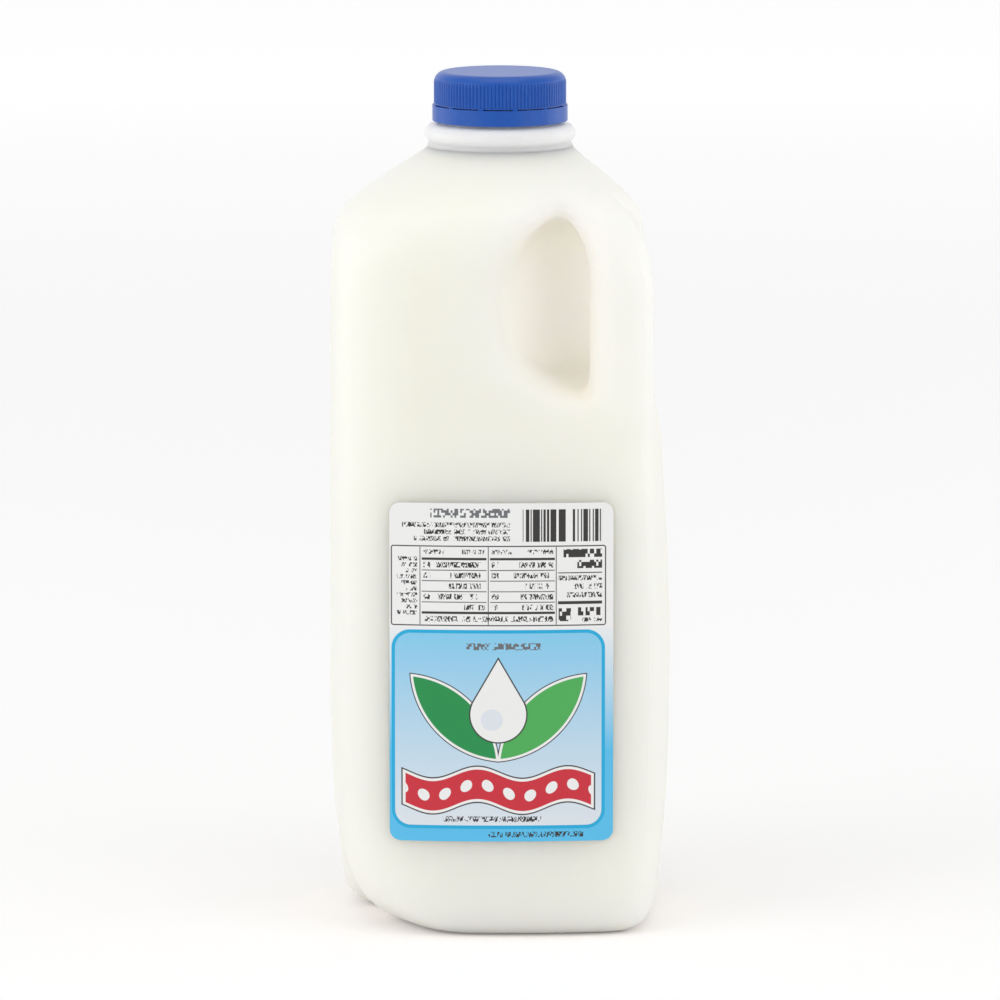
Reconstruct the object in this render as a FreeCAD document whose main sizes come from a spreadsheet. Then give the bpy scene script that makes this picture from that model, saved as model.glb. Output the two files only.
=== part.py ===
import FreeCAD, Part
import Sketcher
import math
import os
import sys

# A half-gallon milk jug: a blow-moulded polyethylene bottle with its grip in one corner, the milk
# in it, its snap-and-screw cap with a tamper band, and the paper label on its front.
#
# +Z is up and the origin is the middle of the base. The mould parts along the upright plane
# through the neck and the grip, which is the plane Y = 0: the grip is at +X, and the bottle is the
# same on both sides. The four walls face 45 degrees to either side of +X and -X. The two beside
# the grip are the near walls, the other two the far walls. The label is on the near wall at -Y.

V = FreeCAD.Vector
UP = V(0, 0, 1)
doc = FreeCAD.newDocument("MilkJug")

# ---------------------------------------------------------------------------------------------
# Driving dimensions, in millimetres and degrees
# ---------------------------------------------------------------------------------------------

SIZES = [
    # Walls
    ("far_wall", 50.2, "axis to each far wall at the belly"),
    ("near_wall", 50.2, "axis to each near wall at the belly"),
    ("lean", 8.4, "how far the near walls have leaned in at the shoulder"),
    ("lean_foot", 88.0, "height at which the near walls start to lean in"),
    ("lean_curve", 1.35, "1 for a straight lean, more for one that grows with height"),
    ("wall_bulge", 220.0, "radius of the four walls, seen from above"),
    ("grip_corner", 13.0, "radius of the corner that holds the grip"),
    ("side_corner", 17.0, "radius of the two corners off the parting plane"),
    ("far_corner", 13.0, "radius of the corner opposite the grip"),
    ("plastic", 0.9, "thickness of the plastic"),
    # Heel and base
    ("heel_round", 7.0, "radius where the walls turn under"),
    ("heel_taper", 4.4, "how far the walls draw in at the base"),
    ("heel_taper_top", 70.0, "height at which the walls start to draw in"),
    ("heel_cut_in", 20.6, "how far inside the walls the cut under each side corner is"),
    ("heel_cut_out", 28.8, "how far that cut has opened out at its top"),
    ("heel_cut_top", 24.0, "height of the top of that cut"),
    ("heel_cut_turn", 110.5, "direction of that cut, from the grip"),
    ("scoop_depth", 9.0, "depth of the scoop that parts the cut from the far wall's foot"),
    ("scoop_turn", 124.0, "direction of the scoop, from the grip"),
    ("scoop_spread", 20.0, "how far it reaches to either side of that direction"),
    ("scoop_top", 30.0, "height at which it has run out"),
    ("dish_depth", 3.0, "depth of the dish in the base"),
    ("dish_radius", 27.0, "radius of the dish's rim"),
    # Shoulder
    ("shoulder_top", 227.6, "height of the foot of the neck"),
    ("shoulder_fade", 31.6, "the four corners start to fade this far under it"),
    ("far_slope", 32.0, "slope of the shoulder over the far walls"),
    ("near_slope", 39.5, "slope of the shoulder over the near walls"),
    ("far_shoulder_round", 8.4, "softness of the edge between shoulder and far wall"),
    ("near_shoulder_round", 4.4, "softness of the edge between shoulder and near wall"),
    # Grip
    ("hole_under", 11.5, "roof of the finger hole to the foot of the neck"),
    ("hole_height", 61.6, "height of the finger hole"),
    ("hole_foot_gap", 14.4, "room between the bar and the body at the foot of the hole"),
    ("hole_head_gap", 21.4, "room between them at its head"),
    ("hole_flare", 8.0, "how much further out the body's side is where it meets a near wall"),
    ("hole_spread", 57.0, "direction in which the hole has closed, from the grip"),
    ("hole_edge", 0.32, "width of the hole's rounded edge, as a share of half its size"),
    ("hole_lip", 2.4, "softness of the line where the hole meets the body"),
    ("bar_set_in", 11.4, "outer side of the bar to the line where the near walls would meet"),
    ("bar_half", 9.6, "half the thickness of the grip bar"),
    ("bar_root", 21.0, "how far the bar runs down inside the corner under the hole"),
    ("bar_root_in", 3.2, "how far the bar's root leans in"),
    ("bar_drop", 26.0, "the bar starts to bend this far under the top of the hole"),
    ("bar_bend", 26.0, "radius of the bend at the head of the bar"),
    ("bar_bend_turn", 68.0, "angle of that bend"),
    ("bar_end", 12.0, "how far the bar runs on inside the shoulder"),
    ("bar_head_depth", 0.58, "depth of the bar at its head, as a share of its depth below"),
    ("recess_depth", 1.6, "depth of the shallow recess round the grip"),
    ("recess_side", 30.0, "middle of the near wall to the recess's edge"),
    ("recess_under", 9.5, "foot of the hole to the recess's lower edge"),
    ("recess_ease", 5.0, "width over which the recess's edge turns"),
    # Neck
    ("neck_radius", 18.3, "radius of the neck under the cap"),
    ("neck_plastic", 1.3, "thickness of the neck"),
    ("neck_foot_out", 2.9, "how much wider than the neck the shoulder is at its foot"),
    ("neck_foot_step", 0.4, "step between the shoulder and the neck that stands on it"),
    ("ring_out", 3.8, "how much wider than the neck the ring under the cap is"),
    ("ring_half", 2.7, "half the height of that ring"),
    ("ring_rise", 4.0, "foot of the neck to the middle of that ring"),
    # Cap
    ("cap_rise", 22.0, "foot of the neck to the top of the cap"),
    ("cap_height", 14.4, "height of the cap with its tamper band"),
    ("cap_wall", 1.0, "thickness of the ribbed skirt"),
    ("cap_flare", 0.45, "how much wider the tamper band is"),
    ("cap_edge", 3.2, "radius of the cap's top edge"),
    ("cap_deck", 1.4, "thickness of the cap's top"),
    ("cap_seat", 0.1, "gap between the neck and the inside of the cap"),
    ("band_height", 4.6, "height of the tamper band"),
    ("slit_height", 0.3, "height of the slits over the band"),
    ("slit_count", 12, "slits round the cap, with a bridge between each two"),
    ("bridge_angle", 4.0, "angle that each bridge takes up"),
    ("rib_count", 110, "grip ribs round the skirt"),
    ("rib_under", 2.1, "top of the cap to the top of the ribs"),
    ("rib_depth", 0.3, "depth of the grooves between the ribs"),
    ("rib_gap", 0.7, "width of a groove, as a share of the room for a rib and a groove"),
    # Label
    ("label_width", 65.0, "width of the label"),
    ("label_height", 99.5, "height of the label"),
    ("label_foot", 29.3, "height of its lower edge"),
    ("label_aside", 0.4, "middle of the wall to the middle of the label, toward the grip"),
    ("label_corner", 3.2, "radius of its corners"),
    ("label_paper", 0.16, "thickness of the label"),
    # Milk
    ("fill_under", 1.6, "foot of the neck to the milk's surface"),
]

# Sizes that follow from the ones above, so that what belongs together moves together
FOLLOWING = [
    ("shoulder_start", "=shoulder_top - shoulder_fade", "height at which the corners fade"),
    ("hole_head", "=shoulder_top - hole_under", "height of the finger hole's roof"),
    ("hole_foot", "=hole_head - hole_height", "height of its foot"),
    ("recess_foot", "=hole_foot - recess_under", "height of the recess's lower edge"),
    ("bar_outer", "=near_wall * sqrt(2) - bar_set_in", "axis to the bar's outer side"),
    ("bar_inner", "=bar_outer - 2 * bar_half", "axis to its inner side"),
    ("hole_foot_reach", "=bar_inner - hole_foot_gap", "axis to the body under the grip"),
    ("hole_head_reach", "=bar_inner - hole_head_gap", "axis to the body at the hole's head"),
    ("heel_cut", "=far_wall - heel_cut_in", "axis to the cut under each side corner"),
    ("neck_foot_radius", "=neck_radius + neck_foot_out", "radius of the shoulder's top"),
    ("ring_radius", "=neck_radius + ring_out", "radius of the ring under the cap"),
    ("ring_height", "=shoulder_top + ring_rise", "height of the middle of that ring"),
    ("cap_top", "=shoulder_top + cap_rise", "height of the top of the cap"),
    ("cap_radius", "=neck_radius + cap_seat + cap_wall", "radius of the ribbed skirt"),
    ("fill_height", "=shoulder_top - fill_under", "height of the milk's surface"),
]

sheet = doc.addObject("Spreadsheet::Sheet", "Sizes")
for row, (alias, value, meaning) in enumerate(SIZES + FOLLOWING, start=1):
    sheet.set(f"A{row}", alias)
    sheet.set(f"B{row}", str(value))
    sheet.set(f"C{row}", meaning)
    sheet.setAlias(f"B{row}", alias)
doc.recompute()


def size(alias):
    """A size, read back from the sheet."""
    return float(sheet.get(alias))


# ---------------------------------------------------------------------------------------------
# The blown body: how far it reaches from the axis, by direction and height
# ---------------------------------------------------------------------------------------------


def ease(value):
    """A smooth step from 0 to 1 as the value goes from 0 to 1."""
    held = min(max(value, 0.0), 1.0)
    return held * held * (3.0 - 2.0 * held)


def soft_min(first, second, softness):
    """The smaller of two distances, with the change from one to the other rounded off."""
    return (first + second - math.hypot(first - second, softness)) / 2.0


def wrapped(theta):
    """An angle brought between minus and plus half a turn."""
    return math.remainder(theta, 2.0 * math.pi)


def reach_to_wall(angle, distance, bulge):
    """From the axis to a bulged wall, in a direction at an angle to the wall's middle."""
    behind = bulge - distance
    return math.sqrt(bulge ** 2 - (behind * math.sin(angle)) ** 2) - behind * math.cos(angle)


def sharpness(distance, bulge, corner):
    """The power that blends two walls at right angles into a corner of the given radius."""
    quarter = math.pi / 4
    behind = bulge - distance
    along = behind * math.cos(quarter)
    centre = math.sqrt(along ** 2 - behind ** 2 + (bulge - corner) ** 2) - along
    return math.log(2) / math.log(reach_to_wall(quarter, distance, bulge) / (centre + corner))


def drawn_in(height):
    """How far the heel has drawn the walls in at a height."""
    below = max(size("heel_taper_top") - height, 0.0) / size("heel_taper_top")
    turned = max(size("heel_round") - height, 0.0)
    under = size("heel_round") - math.sqrt(size("heel_round") ** 2 - turned ** 2)
    return size("heel_taper") * below ** 2 + under


def under_shoulder(wall, height, slope, softness):
    """The distance of a wall, held in by the shoulder that slopes down from the neck."""
    run = (size("shoulder_top") - height) / math.tan(math.radians(slope))
    return soft_min(wall, size("neck_foot_radius") + run, softness)


def far_wall(height):
    wall = size("far_wall") - drawn_in(height)
    return under_shoulder(wall, height, size("far_slope"), size("far_shoulder_round"))


def near_wall(height):
    rise = (height - size("lean_foot")) / (size("hole_head") - size("lean_foot"))
    leaned = size("lean") * max(rise, 0.0) ** size("lean_curve")
    wall = size("near_wall") - drawn_in(height) - leaned
    return under_shoulder(wall, height, size("near_slope"), size("near_shoulder_round"))


def with_hole(theta, height, inset, outside):
    """The body's reach, drawn in to the inner wall of the oval finger hole."""
    foot = size("hole_foot") - inset
    head = size("hole_head") + inset
    middle = (head + foot) / 2.0
    aside = abs(math.degrees(theta)) / (size("hole_spread") + inset)
    off_centre = math.hypot(aside, (height - middle) / (head - middle))
    if off_centre >= 1.0:
        return outside
    part_way = (height - foot) / (head - foot)
    wall = size("hole_foot_reach") + part_way * (size("hole_head_reach") - size("hole_foot_reach"))
    wall = (wall - inset + size("hole_flare") * aside ** 2) / math.cos(theta)
    opened = ease((1.0 - off_centre) / size("hole_edge"))
    return outside + (soft_min(wall, outside, size("hole_lip")) - outside) * opened


def recess(theta, height, reach):
    """The depth of the shallow recess round the grip."""
    along = reach * math.sin(math.pi / 4 - abs(wrapped(theta)))
    width = size("recess_ease")
    sideways = ease((along + size("recess_side")) / width)
    upward = ease((height - size("recess_foot")) / (2.0 * width))
    downward = ease((size("shoulder_start") + width - height) / (2.0 * width))
    ahead = 1.0 if math.cos(theta) > 0 else 0.0
    return size("recess_depth") * sideways * upward * downward * ahead


def scoop(theta, height):
    """The depth of the scoop between the cut heel and the foot of the far wall."""
    aside = abs(abs(math.degrees(wrapped(theta))) - size("scoop_turn")) / size("scoop_spread")
    return size("scoop_depth") * ease(1.0 - aside) * ease(1.0 - height / size("scoop_top"))


def body_reach(theta, height, inset):
    """From the axis to the body's surface. An inset moves the surface in, for the cavity."""
    level = height + inset if height > size("shoulder_start") else height
    near = near_wall(level) - inset
    far = far_wall(level) - inset
    bulge = size("wall_bulge")
    quarter = math.pi / 4
    cut_rise = max(height - inset, 0.0) / size("heel_cut_top")
    cut = size("heel_cut") + size("heel_cut_out") * math.sqrt(cut_rise) - inset
    cut_turn = math.radians(size("heel_cut_turn"))
    reaches = [
        reach_to_wall(theta - quarter, near, bulge),
        reach_to_wall(theta + quarter, near, bulge),
        reach_to_wall(theta - 3 * quarter, far, bulge),
        reach_to_wall(theta + 3 * quarter, far, bulge),
        reach_to_wall(theta - cut_turn, cut, bulge + cut),
        reach_to_wall(theta + cut_turn, cut, bulge + cut),
    ]
    to_grip = max(math.cos(theta), 0.0) ** 2
    to_far = max(-math.cos(theta), 0.0) ** 2
    to_side = math.sin(theta) ** 2
    belly = size("far_wall")
    power = (
        to_grip * sharpness(belly, bulge, size("grip_corner"))
        + to_far * sharpness(belly, bulge, size("far_corner"))
        + to_side * sharpness(belly, bulge, size("side_corner"))
    )
    square = sum(reach ** -power for reach in reaches) ** (-1.0 / power)
    square -= recess(theta, height, square) + scoop(theta, height)
    toward_grip = ease((math.cos(theta) * math.sqrt(2) + 1.0) / 2.0)
    round_reach = near * toward_grip + far * (1.0 - toward_grip)
    faded = (level - size("shoulder_start")) / (size("shoulder_top") - size("shoulder_start"))
    rounded = ease(faded)
    outside = square * (1.0 - rounded) + round_reach * rounded
    return with_hole(wrapped(theta), height, inset, outside)


ROUND_STEPS = 96  # places round a section at which its reach is worked out
OVERLAP = 6  # further places past a full turn, so that the skin is smooth where it closes
BAR_STEPS = 24  # places round a section of the grip bar
BAR_PLACES = 14  # sections along the grip bar, less one
SEAM = 0.00001  # how closely the faces of one solid meet
HEEL_STEP = 0.5  # distance between the sections at the heel
HOLE_STEP = 2.0  # and where the hole opens
SHOULDER_STEP = 1.8  # and on the shoulder
SPREADING = 0.25  # how fast the sections spread out away from these
ROUND_FACETS = 12  # flats round half of the neck's ring
EDGE_FACETS = 8  # flats round the cap's top edge


def round_the_body(height, inset):
    """Points round the body at a height, which run on past a full turn at both ends."""
    points = []
    for step in range(-OVERLAP, ROUND_STEPS + OVERLAP + 1):
        theta = 2.0 * math.pi * step / ROUND_STEPS - math.pi
        reach = body_reach(theta, height, inset)
        points.append(V(reach * math.cos(theta), reach * math.sin(theta), height))
    return points


def heights(low):
    """Heights of the sections: close together at the heel, the hole's ends and the shoulder."""
    hole_turned = (size("hole_head") - size("hole_foot")) * size("hole_edge")
    bends = [
        (0.0, 0.0, HEEL_STEP),
        (size("hole_foot"), size("hole_foot") + hole_turned, HOLE_STEP),
        (size("shoulder_start"), size("shoulder_top"), SHOULDER_STEP),
    ]
    found = [low]
    while found[-1] < size("shoulder_top"):
        here = found[-1]
        steps = []
        for start, end, fine in bends:
            steps.append(fine + SPREADING * max(start - here, here - end, 0.0))
        found.append(here + min(steps))
    stretch = (size("shoulder_top") - low) / (found[-1] - low)
    return [low + (height - low) * stretch for height in found]


def closed_skin(rows):
    """The solid inside a smooth skin through rows of points, which overlap where they close."""
    skin = Part.BSplineSurface()
    skin.interpolate(rows)
    rises = skin.getUKnots()
    turns = skin.getVKnots()
    skin.segment(rises[0], rises[-1], turns[OVERLAP], turns[-1 - OVERLAP])
    quarter = (len(rows[0]) - 2 * OVERLAP) // 4
    for rim, row in ((1, rows[0]), (skin.NbUPoles, rows[-1])):
        flat = Part.Plane(row[0], row[quarter], row[2 * quarter])
        for place in range(1, skin.NbVPoles + 1):
            pole = skin.getPole(rim, place)
            skin.setPole(rim, place, flat.projectPoint(pole))
    side = skin.toShape()
    lids = [Part.Face(Part.Wire([rim])) for rim in side.Edges if rim.isClosed()]
    closed = Part.Compound([side] + lids)
    closed.sewShape()
    solid = Part.Solid(closed.Shells[0])
    solid.fix(SEAM, SEAM, SEAM)
    return solid


def blown(inset):
    """The body without its grip bar, or its cavity."""
    rows = [round_the_body(height, inset) for height in heights(max(inset, 0.0))]
    return closed_skin(rows)


def grip_bar(inset):
    """The hollow bar, from inside the corner under the hole up and over into the shoulder."""
    half = size("bar_half")
    middle = size("bar_outer") - half
    root = size("hole_foot") - size("bar_root")
    upright = size("hole_head") - size("bar_drop") - root
    bend = size("bar_bend")
    full_turn = math.radians(size("bar_bend_turn"))
    length = upright + bend * full_turn + size("bar_end")
    rings = []
    for place in range(BAR_PLACES + 1):
        along = length * place / BAR_PLACES
        turn = min(max(along - upright, 0.0) / bend, full_turn)
        beyond = max(along - upright - bend * full_turn, 0.0)
        out = middle - bend * (1.0 - math.cos(turn)) - beyond * math.sin(turn)
        height = root + min(along, upright) + bend * math.sin(turn) + beyond * math.cos(turn)
        out -= size("bar_root_in") * ease(1.0 - along / size("bar_root"))
        depth = half * (1.0 - (1.0 - size("bar_head_depth")) * turn / full_turn) - inset
        outward = V(math.cos(turn), 0, math.sin(turn))
        ring = []
        for step in range(-OVERLAP, BAR_STEPS + OVERLAP + 1):
            around = 2.0 * math.pi * step / BAR_STEPS
            sideways = V(0, (half - inset) * math.sin(around), 0)
            ring.append(V(out, 0, height) + outward * (depth * math.cos(around)) + sideways)
        rings.append(ring)
    return closed_skin(rings)


def feature(name, shape):
    """A document object that holds a free-form shape."""
    made = doc.addObject("Part::Feature", name)
    made.Shape = shape
    return made


def origin_plane(body, role):
    """One of a body's own origin planes."""
    return next(item for item in body.Origin.OriginFeatures if item.Role == role)


def sketch_on(body, name, role, lift=0.0):
    """An empty sketch on one of a body's origin planes, lifted along the plane's normal."""
    sketch = body.newObject("Sketcher::SketchObject", name)
    sketch.AttachmentSupport = [(origin_plane(body, role), "")]
    sketch.MapMode = "FlatFace"
    sketch.AttachmentOffset = FreeCAD.Placement(V(0, 0, lift), FreeCAD.Rotation())
    return sketch


def closed_outline(sketch, corners):
    """Lines round the corners, joined end to end."""
    count = len(corners)
    for index, corner in enumerate(corners):
        after = corners[(index + 1) % count]
        sketch.addGeometry(Part.LineSegment(V(*corner, 0), V(*after, 0)), False)
    for index in range(count):
        sketch.addConstraint(Sketcher.Constraint("Coincident", index, 2, (index + 1) % count, 1))


def turned(body, name, corners):
    """A solid of revolution about Z, from an outline of (radius, height) corners."""
    sketch = sketch_on(body, name + "_outline", "XZ_Plane")
    closed_outline(sketch, corners)
    doc.recompute()
    solid = body.newObject("PartDesign::Revolution", name)
    solid.Profile = sketch
    solid.ReferenceAxis = (sketch, ["V_Axis"])
    solid.Angle = 360
    doc.recompute()
    return solid


# ---------------------------------------------------------------------------------------------
# Bottle and milk
# ---------------------------------------------------------------------------------------------

body_outside = feature("BodyOutside", blown(0.0))
body_inside = feature("BodyInside", blown(size("plastic")))
bar_outside = feature("BarOutside", grip_bar(0.0))
bar_inside = feature("BarInside", grip_bar(size("plastic")))

ring_foot = size("ring_height") - size("ring_half")
ring_head = size("ring_height") + size("ring_half")
neck_top = size("cap_top") - size("cap_deck")
neck = doc.addObject("PartDesign::Body", "Neck")
neck_foot = size("shoulder_top") - size("neck_plastic")
neck_foot_outer = size("neck_foot_radius") - size("neck_foot_step")
ring_inner = size("ring_radius") - size("ring_half")
neck_outline = [(0.0, neck_foot), (neck_foot_outer, neck_foot), (neck_foot_outer, ring_foot)]
for step in range(ROUND_FACETS + 1):
    turn = math.pi * (step / ROUND_FACETS - 0.5)
    out = ring_inner + size("ring_half") * math.cos(turn)
    neck_outline.append((out, size("ring_height") + size("ring_half") * math.sin(turn)))
neck_outline += [
    (size("neck_radius"), ring_head),
    (size("neck_radius"), neck_top),
    (0.0, neck_top),
]
turned(neck, "NeckSolid", neck_outline)

bore = doc.addObject("Part::Cylinder", "Bore")
bore.setExpression("Radius", "Sizes.neck_radius - Sizes.neck_plastic")
bore.setExpression("Height", "Sizes.cap_top - Sizes.shoulder_top + 2 * Sizes.neck_plastic")
bore.setExpression("Placement.Base.z", "Sizes.shoulder_top - 2 * Sizes.neck_plastic")

dish = doc.addObject("Part::Sphere", "Dish")
dish_ball = "(Sizes.dish_radius ^ 2 + Sizes.dish_depth ^ 2) / (2 * Sizes.dish_depth)"
dish.setExpression("Radius", dish_ball)
dish.setExpression("Placement.Base.z", f"Sizes.dish_depth - {dish_ball}")
dish_skin = doc.addObject("Part::Sphere", "DishSkin")
dish_skin.setExpression("Radius", f"{dish_ball} + Sizes.plastic")
dish_skin.setExpression("Placement.Base.z", f"Sizes.dish_depth - {dish_ball}")


def joined(kind, name, shapes):
    """A union or an intersection of several objects."""
    made = doc.addObject(kind, name)
    made.Shapes = shapes
    return made


def cut_away(name, base, tool):
    """One object less another."""
    made = doc.addObject("Part::Cut", name)
    made.Base = base
    made.Tool = tool
    return made


outside = joined("Part::MultiFuse", "Outside", [body_outside, bar_outside, neck])
outside_dished = cut_away("OutsideDished", outside, dish)
cavity = joined("Part::MultiFuse", "Cavity", [body_inside, bar_inside])
cavity_dished = cut_away("CavityDished", cavity, dish_skin)
hollow = joined("Part::MultiFuse", "Hollow", [cavity_dished, bore])
jug = cut_away("jug", outside_dished, hollow)

# Everything in the cavity up to the fill height, from a box that is wider than the bottle
level = doc.addObject("Part::Box", "FillLevel")
level.setExpression("Length", "4 * Sizes.far_wall")
level.setExpression("Width", "4 * Sizes.far_wall")
level.setExpression("Height", "Sizes.fill_height")
level.setExpression("Placement.Base.x", "-2 * Sizes.far_wall")
level.setExpression("Placement.Base.y", "-2 * Sizes.far_wall")
milk = joined("Part::MultiCommon", "milk", [cavity_dished, level])
doc.recompute()

# ---------------------------------------------------------------------------------------------
# Cap, with its grip ribs and its tamper band
# ---------------------------------------------------------------------------------------------

cap = doc.addObject("PartDesign::Body", "cap")
cap_foot = size("cap_top") - size("cap_height")
slit_foot = cap_foot + size("band_height")
slit_head = slit_foot + size("slit_height")
cap_inner = size("neck_radius") + size("cap_seat")
band_outer = size("cap_radius") + size("cap_flare")
cap_outline = [(0.0, neck_top), (cap_inner, neck_top), (cap_inner, cap_foot), (band_outer, cap_foot)]
cap_outline += [(band_outer, slit_foot), (size("cap_radius"), slit_head)]
for step in range(EDGE_FACETS + 1):
    turn = math.pi / 2 * step / EDGE_FACETS
    out = size("cap_radius") - size("cap_edge") * (1.0 - math.cos(turn))
    cap_outline.append((out, size("cap_top") - size("cap_edge") * (1.0 - math.sin(turn))))
cap_outline.append((0.0, size("cap_top")))
turned(cap, "CapSolid", cap_outline)

rib_head = size("cap_top") - size("rib_under")
groove_sketch = sketch_on(cap, "RibGroove_outline", "XY_Plane", rib_head)
groove_width = size("rib_gap") * 2 * math.pi * size("cap_radius") / size("rib_count")
groove_corners = [
    (size("cap_radius") - size("rib_depth"), 0.0),
    (size("cap_radius") + size("rib_depth"), -groove_width),
    (size("cap_radius") + size("rib_depth"), groove_width),
]
closed_outline(groove_sketch, groove_corners)
doc.recompute()
groove = cap.newObject("PartDesign::Pocket", "RibGroove")
groove.Profile = groove_sketch
groove.Length = rib_head - slit_head - size("slit_height")
doc.recompute()
ribs = cap.newObject("PartDesign::PolarPattern", "Ribs")
ribs.Originals = [groove]
ribs.Axis = (groove_sketch, ["N_Axis"])
ribs.Angle = 360
ribs.Occurrences = int(size("rib_count"))
cap.Tip = ribs
doc.recompute()

slit_sketch = sketch_on(cap, "Slit_outline", "XZ_Plane")
slit_inner = cap_inner - size("cap_wall")
slit_outer = band_outer + size("cap_wall")
slit_corners = [
    (slit_inner, slit_foot),
    (slit_outer, slit_foot),
    (slit_outer, slit_head),
    (slit_inner, slit_head),
]
closed_outline(slit_sketch, slit_corners)
doc.recompute()
slit = cap.newObject("PartDesign::Groove", "Slit")
slit.Profile = slit_sketch
slit.ReferenceAxis = (slit_sketch, ["V_Axis"])
slit.Angle = 360 / size("slit_count") - size("bridge_angle")
doc.recompute()
slits = cap.newObject("PartDesign::PolarPattern", "Slits")
slits.Originals = [slit]
slits.Axis = (groove_sketch, ["N_Axis"])
slits.Angle = 360
slits.Occurrences = int(size("slit_count"))
cap.Tip = slits
doc.recompute()

# ---------------------------------------------------------------------------------------------
# Label
# ---------------------------------------------------------------------------------------------


def label_blank():
    """The label's outline, drawn through the near wall that it is on."""
    half = size("label_width") / 2
    corner = size("label_corner")
    flat = Part.makeBox(size("label_width"), size("near_wall"), size("label_height"))
    flat.translate(V(size("label_aside") - half, -1.5 * size("near_wall"), size("label_foot")))
    edges = [edge for edge in flat.Edges if abs(edge.tangentAt(0).y) > 0.9]
    blank = flat.makeFillet(corner, edges)
    blank.rotate(V(0, 0, 0), UP, 45)
    return blank


skinned = feature("BodyWithPaper", blown(-size("label_paper")))
blank = feature("LabelBlank", label_blank())
paper = joined("Part::MultiCommon", "LabelCurved", [skinned, blank])
label = cut_away("label", paper, body_outside)
doc.recompute()

# ---------------------------------------------------------------------------------------------
# Checks, and one file for each piece
# ---------------------------------------------------------------------------------------------

PIECES = {"jug": jug, "milk": milk, "cap": cap, "label": label}

for thing in doc.Objects:
    if "Invalid" in thing.State or "Error" in thing.State:
        sys.exit(f"{thing.Label} did not compute: {thing.State}")

os.makedirs("parts", exist_ok=True)
for name, piece in PIECES.items():
    piece.Label = name
    shape = piece.Shape
    if shape.isNull() or not shape.isValid() or len(shape.Solids) != 1:
        sys.exit(f"{name} is not one sound solid")
    shape.exportStep(f"parts/{name}.step")
    print(name, round(shape.Volume / 1000, 2), "ml")
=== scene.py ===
# %% [markdown]
# # A half-gallon milk jug
#
# The jug is blow-moulded polyethylene with milk behind it, a ribbed screw cap with a tamper band,
# and a printed label on one wall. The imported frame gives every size. This script gives the looks:
# a soft, slightly glowing bottle skin, a clouded neck, a satin cap and a printed label.

# %% Frame
import bmesh
import bpy
import math
from mathutils import Matrix, Vector


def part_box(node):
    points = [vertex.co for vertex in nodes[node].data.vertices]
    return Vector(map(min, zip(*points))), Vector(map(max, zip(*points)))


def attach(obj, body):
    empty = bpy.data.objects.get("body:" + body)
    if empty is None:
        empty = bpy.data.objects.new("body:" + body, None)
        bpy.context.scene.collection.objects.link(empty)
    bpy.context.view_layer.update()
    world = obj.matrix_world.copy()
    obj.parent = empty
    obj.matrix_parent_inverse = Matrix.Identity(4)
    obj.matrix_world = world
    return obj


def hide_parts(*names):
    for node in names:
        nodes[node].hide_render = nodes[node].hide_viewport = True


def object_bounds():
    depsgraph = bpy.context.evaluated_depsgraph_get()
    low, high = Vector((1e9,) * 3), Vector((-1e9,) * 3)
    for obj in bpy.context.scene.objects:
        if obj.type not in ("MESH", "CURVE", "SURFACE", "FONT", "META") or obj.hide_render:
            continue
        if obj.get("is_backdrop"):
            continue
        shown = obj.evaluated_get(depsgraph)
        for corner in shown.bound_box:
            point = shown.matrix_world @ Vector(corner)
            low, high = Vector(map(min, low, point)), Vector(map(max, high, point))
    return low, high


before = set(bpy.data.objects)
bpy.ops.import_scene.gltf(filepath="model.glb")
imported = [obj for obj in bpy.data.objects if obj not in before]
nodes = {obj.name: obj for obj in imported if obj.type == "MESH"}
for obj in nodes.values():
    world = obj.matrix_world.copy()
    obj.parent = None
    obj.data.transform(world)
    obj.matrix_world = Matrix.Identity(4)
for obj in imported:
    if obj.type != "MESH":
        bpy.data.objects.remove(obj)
cad_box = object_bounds()
MM = 0.001
for name, node in nodes.items():
    low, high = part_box(name)
    print(name, [round(v / MM, 1) for v in low], [round(v / MM, 1) for v in high])

# %% [markdown]
# ## Small tools for shapes
#
# Every piece is a mesh made or finished with bmesh, with its place in its own points. A finished
# piece is smooth-shaded, and its object stays at the origin.

# %% Mesh tools


def piece_from(name, mesh, finish):
    """A new object at the origin that shows a mesh in one finish."""
    mesh.name = name
    mesh.materials.clear()
    mesh.materials.append(finish)
    mesh.polygons.foreach_set("use_smooth", [True] * len(mesh.polygons))
    piece = bpy.data.objects.new(name, mesh)
    bpy.context.scene.collection.objects.link(piece)
    print(name, len(mesh.polygons), "faces")
    return piece


def to_mesh(bm, name):
    """Closes a bmesh into a mesh with its faces pointing outwards."""
    bmesh.ops.recalc_face_normals(bm, faces=bm.faces)
    mesh = bpy.data.meshes.new(name)
    bm.to_mesh(mesh)
    bm.free()
    return mesh


def modified(mesh, kind, **settings):
    """A mesh with one modifier worked into it."""
    carrier = bpy.data.objects.new("carrier", mesh)
    bpy.context.scene.collection.objects.link(carrier)
    change = carrier.modifiers.new(kind, kind)
    for key, value in settings.items():
        setattr(change, key, value)
    bpy.context.view_layer.update()
    graph = bpy.context.evaluated_depsgraph_get()
    changed = bpy.data.meshes.new_from_object(carrier.evaluated_get(graph))
    bpy.data.objects.remove(carrier)
    return changed


# %% [markdown]
# ## Small tools for finishes
#
# A finish is a Principled shader whose colour comes from sums on the object's own coordinates, in
# millimetres. `Value` wraps one number of the node tree, so that the sums read as plain arithmetic.

# %% Finish tools


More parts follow.
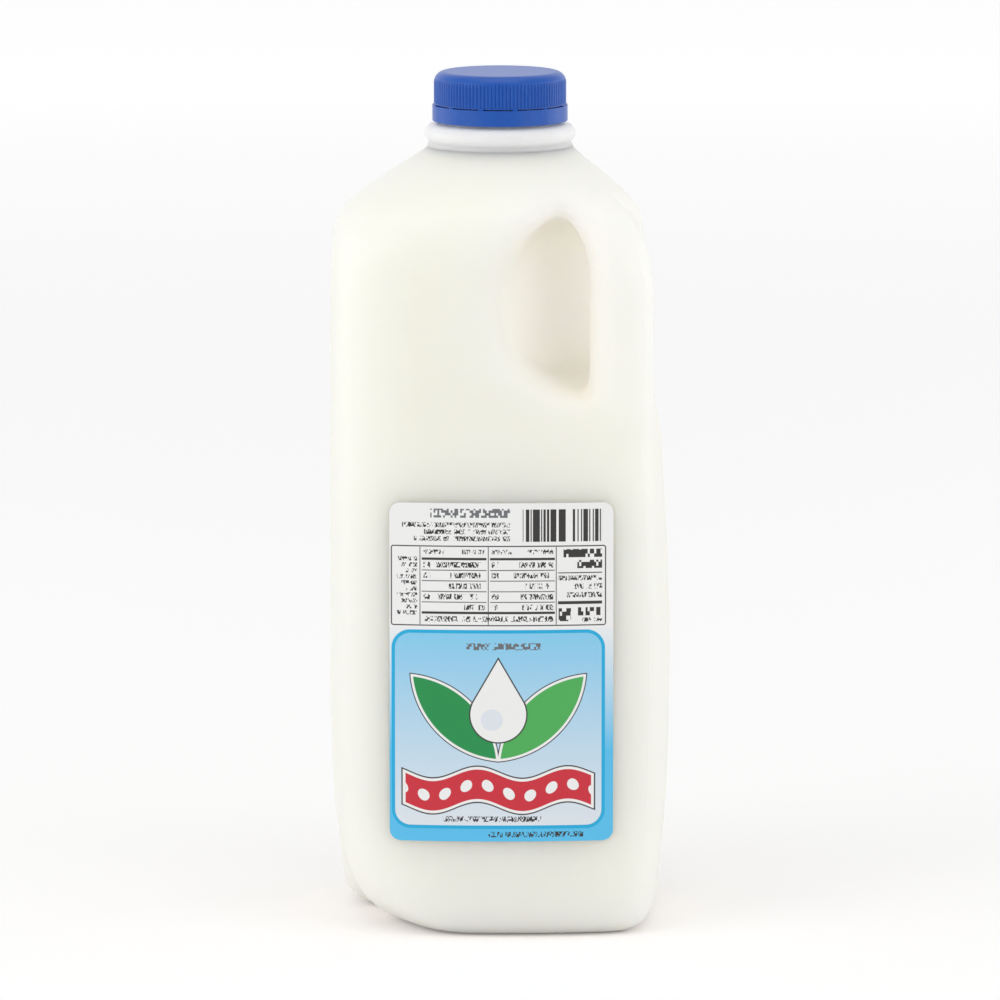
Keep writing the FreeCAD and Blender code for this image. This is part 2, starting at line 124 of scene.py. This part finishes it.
class Value:
    """One number in a finish. The usual operators add Math nodes."""

    def __init__(self, finish, socket):
        self.finish = finish
        self.socket = socket

    def maths(self, operation, *others):
        return self.finish.maths(operation, self, *others)

    def __add__(self, other):
        return self.maths("ADD", other)

    def __radd__(self, other):
        return self.maths("ADD", other)

    def __sub__(self, other):
        return self.maths("SUBTRACT", other)

    def __rsub__(self, other):
        return self.finish.maths("SUBTRACT", other, self)

    def __mul__(self, other):
        return self.maths("MULTIPLY", other)

    def __rmul__(self, other):
        return self.maths("MULTIPLY", other)

    def __truediv__(self, other):
        return self.maths("DIVIDE", other)

    def __neg__(self):
        return self.maths("MULTIPLY", -1.0)

    def size(self):
        return self.maths("ABSOLUTE")

    def low(self, other):
        return self.maths("MINIMUM", other)

    def high(self, other):
        return self.maths("MAXIMUM", other)

    def held(self):
        """The number held between 0 and 1."""
        return self.high(0.0).low(1.0)

    def repeat(self, period):
        """The number's remainder after whole periods, from 0 to 1."""
        return (self / period).maths("FRACT")


class Finish:
    """A material built round one Principled shader."""

    def __init__(self, name, **settings):
        self.material = bpy.data.materials.new(name)
        self.material.use_nodes = True
        self.tree = self.material.node_tree
        self.shader = self.tree.nodes["Principled BSDF"]
        for label, value in settings.items():
            self.shader.inputs[label.replace("_", " ")].default_value = value

    def node(self, kind, settings=None, sockets=None):
        made = self.tree.nodes.new(kind)
        for key, value in (settings or {}).items():
            setattr(made, key, value)
        for key, value in (sockets or {}).items():
            self.put(made.inputs[key], value)
        return made

    def put(self, socket, value):
        if isinstance(value, Value):
            self.tree.links.new(value.socket, socket)
        elif isinstance(value, bpy.types.NodeSocket):
            self.tree.links.new(value, socket)
        else:
            socket.default_value = value

    def maths(self, operation, *terms):
        made = self.node("ShaderNodeMath", {"operation": operation})
        for place, term in enumerate(terms):
            self.put(made.inputs[place], term)
        return Value(self, made.outputs[0])

    def place(self, turn=0.0):
        """The point's own coordinates in millimetres, with the axes turned about Z."""
        where = self.node("ShaderNodeTexCoord").outputs["Object"]
        mapping = {"Vector": where, "Scale": (1 / MM, 1 / MM, 1 / MM), "Rotation": (0, 0, turn)}
        turned = self.node("ShaderNodeMapping", {"vector_type": "POINT"}, mapping)
        apart = self.node("ShaderNodeSeparateXYZ", None, {"Vector": turned.outputs[0]})
        return [Value(self, apart.outputs[axis]) for axis in range(3)]

    def noise(self, scale, detail=2.0, stretch=(1, 1, 1)):
        """A soft random number round 0.5, at so many blobs per millimetre."""
        where = self.node("ShaderNodeTexCoord").outputs["Object"]
        sizes = [scale / MM * share for share in stretch]
        mapping = self.node("ShaderNodeMapping", None, {"Vector": where, "Scale": sizes})
        sockets = {"Vector": mapping.outputs[0], "Scale": 1.0, "Detail": detail}
        return Value(self, self.node("ShaderNodeTexNoise", None, sockets).outputs[0])

    def blend(self, share, first, second):
        """One colour fading into another as the share goes from 0 to 1."""
        sockets = {0: share, 6: first, 7: second}
        mixed = self.node("ShaderNodeMix", {"data_type": "RGBA"}, sockets)
        return mixed.outputs[2]

    def bump(self, height, strength, distance):
        sockets = {"Height": height, "Strength": strength, "Distance": distance * MM}
        self.put(self.shader.inputs["Normal"], self.node("ShaderNodeBump", None, sockets).outputs[0])

    def colour(self, value):
        self.put(self.shader.inputs["Base Color"], value)

    def set(self, label, value):
        self.put(self.shader.inputs[label], value)


def paint(red, green, blue):
    """A shader colour from the red, green and blue of a paint chip, each out of 255."""
    chip = []
    for part in (red, green, blue):
        level = part / 255
        chip.append(level / 12.92 if level <= 0.04045 else ((level + 0.055) / 1.055) ** 2.4)
    return (*chip, 1.0)


# %% [markdown]
# ## Camera, light and floor
#
# A long lens a little above the jug keeps its sides upright, as a catalogue view does. The light is
# two big soft panels and a bright surround, so the pale plastic keeps its own gentle shading.

# %% Camera
EYE = Vector((1.8385, -1.8385, 0.514))
AIM = Vector((0, 0, 0.1225))
camera = bpy.data.objects.new("camera", bpy.data.cameras.new("camera"))
bpy.context.scene.collection.objects.link(camera)
camera.location = EYE
camera.rotation_euler = (AIM - EYE).to_track_quat("-Z", "Y").to_euler()
camera.data.lens = 320.9
camera.data.sensor_width = 36.0
bpy.context.scene.camera = camera
bpy.context.scene.view_settings.view_transform = "Standard"

# %% Light and floor


def panel(name, place, size, power):
    """A square soft light that faces the middle of the jug."""
    light = bpy.data.objects.new(name, bpy.data.lights.new(name, "AREA"))
    bpy.context.scene.collection.objects.link(light)
    light.location = place
    light.rotation_euler = (AIM - Vector(place)).to_track_quat("-Z", "Y").to_euler()
    light.data.size = size
    light.data.energy = power
    return light


across = Vector((1, 1, 0)).normalized()
toward = Vector((1, -1, 0)).normalized()
up = Vector((0, 0, 1))
panel("left_panel", -across * 1.3 + toward * 0.9 + up * 0.7, 1.2, 6.0)
panel("right_panel", across * 1.3 + toward * 0.9 + up * 0.6, 1.2, 4.0)
panel("top_panel", up * 1.7 + toward * 0.3, 1.4, 7.0)
panel("right_side_panel", across * 1.4 - toward * 0.35 + up * 0.25, 1.1, 4.8)
panel("left_side_panel", -across * 1.4 - toward * 0.25 + up * 0.25, 1.1, 3.8)

world = bpy.data.worlds.new("surround")
bpy.context.scene.world = world
world.use_nodes = True
surround = world.node_tree
light_path = surround.nodes.new("ShaderNodeLightPath")
soft = surround.nodes["Background"]
soft.inputs[0].default_value = (1, 1, 1, 1)
soft.inputs[1].default_value = 0.53
seen = surround.nodes.new("ShaderNodeBackground")
seen.inputs[0].default_value = (1, 1, 1, 1)
seen.inputs[1].default_value = 1.0
plain = light_path.outputs["Is Camera Ray"]
for ray in ("Is Glossy Ray", "Is Transmission Ray"):
    either = surround.nodes.new("ShaderNodeMath")
    either.operation = "MAXIMUM"
    surround.links.new(plain, either.inputs[0])
    surround.links.new(light_path.outputs[ray], either.inputs[1])
    plain = either.outputs[0]
choice = surround.nodes.new("ShaderNodeMixShader")
surround.links.new(plain, choice.inputs[0])
surround.links.new(soft.outputs[0], choice.inputs[1])
surround.links.new(seen.outputs[0], choice.inputs[2])
surround.links.new(choice.outputs[0], surround.nodes["World Output"].inputs[0])

floor_bm = bmesh.new()
bmesh.ops.create_circle(floor_bm, cap_ends=True, segments=96, radius=6.0)
floor_finish = Finish("floor_paint", Roughness=0.9)
floor_finish.colour(paint(250, 250, 250))
FLOOR_GLOW = 0.42
NEAR_SHARE = 0.24  # of the glow, so that the shadow stays
NEAR, FAR = 150.0, 2350.0  # millimetres from the jug's axis
rays = floor_finish.node("ShaderNodeLightPath")
seen_or_mirrored = floor_finish.maths(
    "MAXIMUM", rays.outputs["Is Camera Ray"], rays.outputs["Is Glossy Ray"]
).high(rays.outputs["Is Transmission Ray"])
white = floor_finish.node("ShaderNodeEmission", None, {"Color": (1, 1, 1, 1), "Strength": FLOOR_GLOW})
added = floor_finish.node("ShaderNodeAddShader", None,
                          {0: floor_finish.shader.outputs[0], 1: white.outputs[0]})
sideways_mm, back_mm, _ = floor_finish.place()
away = (sideways_mm * sideways_mm + back_mm * back_mm).maths("SQRT")
far_share = ((away - NEAR) / (FAR - NEAR)).held()
glow_share = (far_share * (1.0 - NEAR_SHARE) + NEAR_SHARE) * seen_or_mirrored
shown = floor_finish.node("ShaderNodeMixShader", None,
                          {0: glow_share, 1: floor_finish.shader.outputs[0], 2: added.outputs[0]})
floor_finish.put(floor_finish.tree.nodes["Material Output"].inputs["Surface"], shown.outputs[0])
floor = piece_from("floor", to_mesh(floor_bm, "floor"), floor_finish.material)
floor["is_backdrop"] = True

# %% [markdown]
# ## Bottle
#
# The bottle's outside could be shaped again by hand, but the frame already has the true form: the
# leaning walls, the cut heels, the oval finger hole and the grip bar. What the frame lacks is the
# softness of blown plastic, where no edge is sharp. So a copy of its outer skin is remeshed into
# even small faces and smoothed, most of all where the bar grows out of the corner.

# %% Bottle shape
NECK_FOOT = 229.0 * MM
VOXEL = 1.15 * MM


def outer_skin(node):
    """The outside of the hollow bottle below the neck, closed at the top."""
    bm = bmesh.new()
    bm.from_mesh(node.data)
    bmesh.ops.remove_doubles(bm, verts=bm.verts, dist=0.002 * MM)
    plane = {"plane_co": (0, 0, NECK_FOOT), "plane_no": (0, 0, 1)}
    everything = bm.verts[:] + bm.edges[:] + bm.faces[:]
    bmesh.ops.bisect_plane(bm, geom=everything, clear_outer=True, **plane)
    rims = [edge for edge in bm.edges if edge.is_boundary]
    print("open edges at the neck", len(rims))
    bm.verts.ensure_lookup_table()
    seed = max(bm.verts, key=lambda vert: vert.co.x)
    reached = {seed}
    waiting = [seed]
    while waiting:
        for edge in waiting.pop().link_edges:
            for vert in edge.verts:
                if vert not in reached:
                    reached.add(vert)
                    waiting.append(vert)
    inner = [vert for vert in bm.verts if vert not in reached]
    bmesh.ops.delete(bm, geom=inner, context="VERTS")
    bmesh.ops.holes_fill(bm, edges=[edge for edge in bm.edges if edge.is_boundary], sides=0)
    bmesh.ops.triangulate(bm, faces=bm.faces)
    return to_mesh(bm, "bottle_skin")


def softened(mesh):
    """The skin with its edges relaxed, most of all round the grip."""
    bm = bmesh.new()
    bm.from_mesh(mesh)
    below_neck = [vert for vert in bm.verts if vert.co.z < NECK_FOOT - 2 * MM]
    for turn in range(6):
        bmesh.ops.smooth_vert(bm, verts=below_neck, factor=0.5, use_axis_x=True,
                              use_axis_y=True, use_axis_z=True)
    grip = [vert for vert in below_neck if vert.co.x > 12 * MM and 138 * MM < vert.co.z]
    for turn in range(26):
        bmesh.ops.smooth_vert(bm, verts=grip, factor=0.5, use_axis_x=True,
                              use_axis_y=True, use_axis_z=True)
    return to_mesh(bm, "bottle")


skin = outer_skin(nodes["jug"])
remeshed = modified(skin, "REMESH", mode="VOXEL", voxel_size=VOXEL)
bottle_mesh = softened(remeshed)

# %% Bottle finish
milky = Finish("milky_plastic", Roughness=0.42, IOR=1.45, Subsurface_Weight=1.0,
               Subsurface_Radius=(1.0, 0.94, 0.86), Subsurface_Scale=24 * MM)
across_mm, deep_mm, high_mm = milky.place()
cloud = milky.noise(0.05, 3.0)
cream = milky.blend(cloud, paint(253, 244, 233), paint(254, 246, 236))
empty = ((high_mm - 226.0) / 2.0).held()
# Painted light: round the finger hole the skin is painted paler and warmer, in place of light that
# comes through the milk-filled plastic into the hole.
painted_light_spot = (((across_mm - 28.0) / 18.0).maths("POWER", 2.0) + (deep_mm / 60.0).maths("POWER", 2.0)
        + ((high_mm - 186.0) / 42.0).maths("POWER", 2.0))
cream = milky.blend((1.0 - painted_light_spot).held() * 0.8, cream, paint(255, 246, 238))
milky.colour(milky.blend(empty, cream, paint(244, 245, 246)))
seam = (1.0 - deep_mm.size() / 0.5).held()
milky.bump(milky.noise(0.25, 4.0) * 0.4 + seam, 0.25, 0.25)
bottle = piece_from("bottle", bottle_mesh, milky.material)
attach(bottle, "root")
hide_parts("jug")

# %% [markdown]
# ## Neck
#
# Above the milk the plastic shows its own clouded grey. The neck and its ring are one round form, so
# their outline is spun about the axis.

# %% Neck
NECK_STEPS = 96


def spun(name, outline, steps=NECK_STEPS):
    """A closed outline of (radius, height) points in millimetres, spun about Z."""
    bm = bmesh.new()
    verts = [bm.verts.new((out * MM, 0, height * MM)) for out, height in outline]
    edges = [bm.edges.new((verts[place - 1], verts[place])) for place in range(len(verts))]
    bmesh.ops.spin(bm, geom=verts + edges, cent=(0, 0, 0), axis=(0, 0, 1),
                   angle=2 * math.pi, steps=steps, use_merge=True)
    bmesh.ops.remove_doubles(bm, verts=bm.verts, dist=0.01 * MM)
    return to_mesh(bm, name)


def arc(out, height, radius, start, end, steps):
    """Points along an arc, by angle in degrees from outwards."""
    points = []
    for step in range(steps + 1):
        angle = math.radians(start + (end - start) * step / steps)
        points.append((out + radius * math.cos(angle), height + radius * math.sin(angle)))
    return points


ring_outline = [(17.0, 248.1), (17.0, 226.5), (21.3, 226.5), (21.2, 228.4), (20.8, 229.2)]
ring_outline += arc(19.4, 231.6, 2.7, -58, 62, 16)
ring_outline += [(18.6, 234.4), (18.3, 235.4), (18.3, 248.1)]
clouded = Finish("clouded_plastic", Roughness=0.34, IOR=1.45,
                 Subsurface_Weight=1.0, Subsurface_Radius=(1.0, 0.98, 0.96), Subsurface_Scale=8 * MM)
clouded.colour(clouded.blend(clouded.noise(0.12, 3.0), paint(244, 245, 246), paint(250, 250, 249)))
neck = piece_from("neck", spun("neck", ring_outline), clouded.material)
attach(neck, "root")
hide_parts("jug")

# %% Milk
whole_milk = Finish("whole_milk", Roughness=0.25, Subsurface_Weight=0.5,
                    Subsurface_Radius=(1.0, 0.9, 0.75), Subsurface_Scale=5 * MM)
whole_milk.colour(whole_milk.blend(whole_milk.noise(0.08), paint(246, 243, 234), paint(249, 246, 238)))
nodes["milk"].data.materials.clear()
nodes["milk"].data.materials.append(whole_milk.material)

# %% Cap
blue = Finish("blue_cap_plastic", Roughness=0.32, IOR=1.5, Specular_IOR_Level=0.38)
speck = blue.noise(0.4, 2.0)
blue.colour(blue.blend(speck, paint(0, 74, 168), paint(10, 86, 180)))
blue.bump(blue.noise(1.2, 3.0), 0.06, 0.1)
nodes["cap"].data.materials.clear()
nodes["cap"].data.materials.append(blue.material)

# %% [markdown]
# ## Label
#
# The label is paper printed in a few flat inks, and the frame's own piece already follows the
# bulge of the wall. Its print could be a picture, but fields of ink worked out from the point's
# place stay sharp at any distance. Each field is a share from 0 to 1, made from distances in
# millimetres, and the inks are laid over each other as a press would lay them. Leaves with a
# drop, a ribbon and rows of marks stand where a pack has its picture, title and small print.

# %% Label fields
paper = Finish("printed_paper", Roughness=0.42, IOR=1.48, Coat_Weight=0.15, Coat_Roughness=0.3)
along, _, rise = paper.place(-math.pi / 4)
SOFT = 0.12


def inside(distance):
    """1 where a signed distance to an outline is negative, with a soft edge."""
    return (distance * (-1 / SOFT) + 0.5).held()


def box_field(left, right, foot, head, place=(along, rise)):
    """An upright rectangle of ink."""
    sideways = (place[0] - (left + right) / 2).size() - (right - left) / 2
    upwards = (place[1] - (foot + head) / 2).size() - (head - foot) / 2
    return inside(sideways.high(upwards))


def rounded_distance(left, right, foot, head, corner, place=(along, rise)):
    """The signed distance to a rectangle with round corners."""
    sideways = ((place[0] - (left + right) / 2).size() - ((right - left) / 2 - corner)).high(0.0)
    upwards = ((place[1] - (foot + head) / 2).size() - ((head - foot) / 2 - corner)).high(0.0)
    return (sideways * sideways + upwards * upwards).maths("SQRT") - corner


def disc_distance(middle, height, radius):
    sideways = along - middle
    upwards = rise - height
    return (sideways * sideways + upwards * upwards).maths("SQRT") - radius


def all_of(fields):
    """One field that covers several."""
    covered = fields[0]
    for field in fields[1:]:
        covered = covered.high(field)
    return covered


def chance(column, row, seed):
    """A random number for each cell of a grid."""
    mixed = column.maths("FLOOR") * 12.9898 + row.maths("FLOOR") * 78.233 + seed
    return (mixed.maths("SINE") * 4375.85).maths("FRACT").size()


# %% Label inks
WHITE = paint(243, 243, 242)
SKY = paint(86, 193, 239)
SKY_HIGH = paint(134, 205, 240)
SKY_LOW = paint(226, 232, 239)
BORDER = paint(0, 172, 222)
GREEN = paint(0, 140, 68)
LEAF = paint(70, 172, 82)
RED = paint(205, 30, 50)
BLACK = paint(35, 30, 30)
GREY = paint(105, 108, 112)

# The ground: white paper above, and a bordered panel of sky below
PANEL = (-31.0, 30.0, 33.6, 91.4)
fade = ((94.0 - rise) / 38.0).held()
print_colour = paper.blend(fade, WHITE, SKY)
panel_distance = rounded_distance(*PANEL, 5.0)
sky = paper.blend(((rise - 34.0) / 56.0).held(), SKY_LOW, SKY_HIGH)
print_colour = paper.blend(inside(panel_distance), print_colour, sky)
print_colour = paper.blend(inside(panel_distance.size() - 0.5), print_colour, BORDER)
print_colour = paper.blend(box_field(-40.0, 40.0, 92.4, 140.0), print_colour, WHITE)

# %% Label picture
# Two green leaves cross behind a white drop, over a wavy red ribbon with white dots
LEAF_RADIUS = 27.1
LEAF_REACH = 14.9


def leaf(middle, height, lean):
    """A pointed leaf, where two discs cross. It leans left with 1 and right with -1."""
    upper = disc_distance(middle + lean * LEAF_REACH, height + LEAF_REACH, LEAF_RADIUS)
    lower = disc_distance(middle - lean * LEAF_REACH, height - LEAF_REACH, LEAF_RADIUS)
    return upper.high(lower)


def drop(middle, height, radius):
    """A round drop with straight sides that meet two radii above its middle."""
    sides = ((along - middle).size() * 3 ** 0.5 + rise - (height + 2 * radius)) * 0.5
    above = (height + radius / 2) - rise
    return disc_distance(middle, height, radius).low(sides.high(above))


left_leaf = leaf(-13.2, 66.0, 1)
right_leaf = leaf(12.2, 66.0, -1)
for outline, tint in ((1.0, BLACK), (0.7, WHITE)):
    print_colour = paper.blend(inside(left_leaf.low(right_leaf) - outline), print_colour, tint)
print_colour = paper.blend(inside(right_leaf), print_colour, LEAF)
print_colour = paper.blend(inside(left_leaf), print_colour, GREEN)
milk_drop = drop(-0.5, 67.0, 7.6)
for outline, tint in ((0.9, BLACK), (0.5, WHITE)):
    print_colour = paper.blend(inside(milk_drop - outline), print_colour, tint)
print_colour = paper.blend(inside(disc_distance(-2.4, 65.4, 3.2)), print_colour, SKY_LOW)

# %% Label ribbon
DOTS_APART = 6.2
wave = (along * 0.24).maths("SINE") * 1.8 + rise - 44.6
ribbon = (wave.size() - 4.4).high((along + 0.5).size() - 27.0)
to_dot = ((along + 0.5).repeat(DOTS_APART) - 0.5) * DOTS_APART
dot = (to_dot * to_dot + wave * wave).maths("SQRT") - 1.7
for outline, tint in ((1.2, BLACK), (0.8, WHITE), (0.0, RED)):
    print_colour = paper.blend(inside(ribbon - outline), print_colour, tint)
print_colour = paper.blend(inside(dot.high(ribbon)), print_colour, WHITE)

# %% Label small print
# Rules and marks: rows of random ticks read as print that is too small to read. The table has its
# own place on the paper: heights from TABLE_ZERO, and sideways from right to left.
TABLE_ZERO = 50.0
on_table = (along * -1.0, rise - TABLE_ZERO)
table = rounded_distance(-30.6, 31.5, 43.2, 66.3, 0.6, on_table)
lines = [inside(table.size() - 0.17)]
for left, right, height, thick in (
    (-15.9, 2.9, 62.6, 0.7), (-15.9, 2.9, 59.3, 0.25), (-15.9, 2.9, 56.2, 0.25),
    (-15.9, 2.9, 53.1, 0.25), (-15.9, 2.9, 50.0, 0.25), (-15.9, 22.7, 46.9, 0.7),
    (3.9, 22.7, 62.6, 0.7), (3.9, 22.7, 59.3, 0.25), (3.9, 22.7, 56.2, 0.25),
    (3.9, 22.7, 53.1, 0.25), (3.9, 22.7, 50.0, 0.25), (-29.6, -16.8, 58.5, 0.3),
    (-29.6, -16.8, 49.8, 0.9),
):
    lines.append(box_field(left, right, height - thick / 2, height + thick / 2, on_table))
for middle in (-16.3, 3.4, 23.2):
    lines.append(box_field(middle - 0.12, middle + 0.12, 43.4, 66.1, on_table))

small = []
for left, right, foot, head in (
    (-15.4, -8.0, 64.0, 65.3), (-3.4, 2.4, 64.0, 65.3), (4.4, 11.0, 64.0, 65.3),
    (16.0, 22.2, 64.0, 65.3), (-15.4, -5.6, 60.1, 61.7), (0.4, 2.4, 60.1, 61.7),
    (4.4, 18.4, 60.1, 61.7), (20.2, 22.2, 60.1, 61.7), (-14.2, -4.0, 57.0, 58.6),
    (0.4, 2.4, 57.0, 58.6), (5.6, 14.4, 57.0, 58.6), (20.2, 22.2, 57.0, 58.6),
    (-14.2, -7.4, 53.9, 55.5), (5.6, 15.2, 53.9, 55.5), (-15.4, -6.0, 50.8, 52.4),
    (0.4, 2.4, 50.8, 52.4), (6.6, 18.0, 50.8, 52.4), (20.2, 22.2, 50.8, 52.4),
    (-15.4, -6.4, 47.7, 49.3), (0.4, 2.4, 47.7, 49.3), (4.4, 10.4, 47.7, 49.3),
    (-15.4, 21.8, 44.3, 45.9), (-29.6, -16.9, 56.3, 57.7), (-29.6, -21.6, 53.8, 55.3),
    (-29.6, -19.4, 51.3, 52.8), (-29.6, -23.8, 44.2, 45.4),
    (-2.9, 28.4, 71.8, 73.2), (-2.9, 22.0, 69.8, 71.2), (-2.9, 25.4, 67.8, 69.2),
    (-12.0, 16.6, -14.8, -13.2), (-24.6, 3.4, -19.4, -17.8),
):
    small.append(box_field(left, right, foot, head, on_table))
for row in range(10):
    foot = 62.0 - row * 1.75
    small.append(box_field(24.0, 29.9 - 1.3 * (row % 3), foot, foot + 1.2, on_table))
ticks = (chance(along / 0.24, rise / 0.5, 0.0) - 0.45).maths("SIGN").held()
words = (chance(along / 0.78, rise / 1.55, 3.0) - 0.16).maths("SIGN").held()
print_marks = all_of(small) * ticks * words

bold = all_of([
    box_field(left, right, foot, head, on_table) for left, right, foot, head in (
        (-29.6, -18.4, 63.0, 65.4), (-29.6, -22.4, 59.8, 62.2),
        (-29.6, -22.6, 46.0, 48.4), (-20.6, -17.0, 44.4, 48.2),
    )
])
bold_ticks = (chance(along / 0.62, rise / 1.2, 7.0) - 0.3).maths("SIGN").held()
bars = (chance(along / 0.34, rise * 0.0, 1.0) - 0.48).maths("SIGN").held()
barcode = box_field(-29.6, -6.6, 67.6, 77.0, on_table) * bars
ink = all_of(lines + [print_marks, bold * bold_ticks, barcode])

grey = all_of([box_field(-2.9, 20.2, 74.6, 77.2, on_table), box_field(-9.8, 11.8, 86.0, 88.0)])
grey_ticks = (chance(along / 0.55, rise / 0.75, 5.0) - 0.45).maths("SIGN").held()
print_colour = paper.blend(grey * grey_ticks, print_colour, GREY)
print_colour = paper.blend(ink, print_colour, BLACK)
paper.colour(print_colour)
paper.bump(paper.noise(2.5, 3.0), 0.05, 0.05)
nodes["label"].data.materials.clear()
nodes["label"].data.materials.append(paper.material)
print("label nodes", len(paper.tree.nodes))

# %% Sizes and the end
for finished in (bottle, neck):
    print(finished.name, [round(v / MM, 1) for v in finished.dimensions])
[[list(map(float, corner)) for corner in box] for box in (cad_box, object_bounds())]
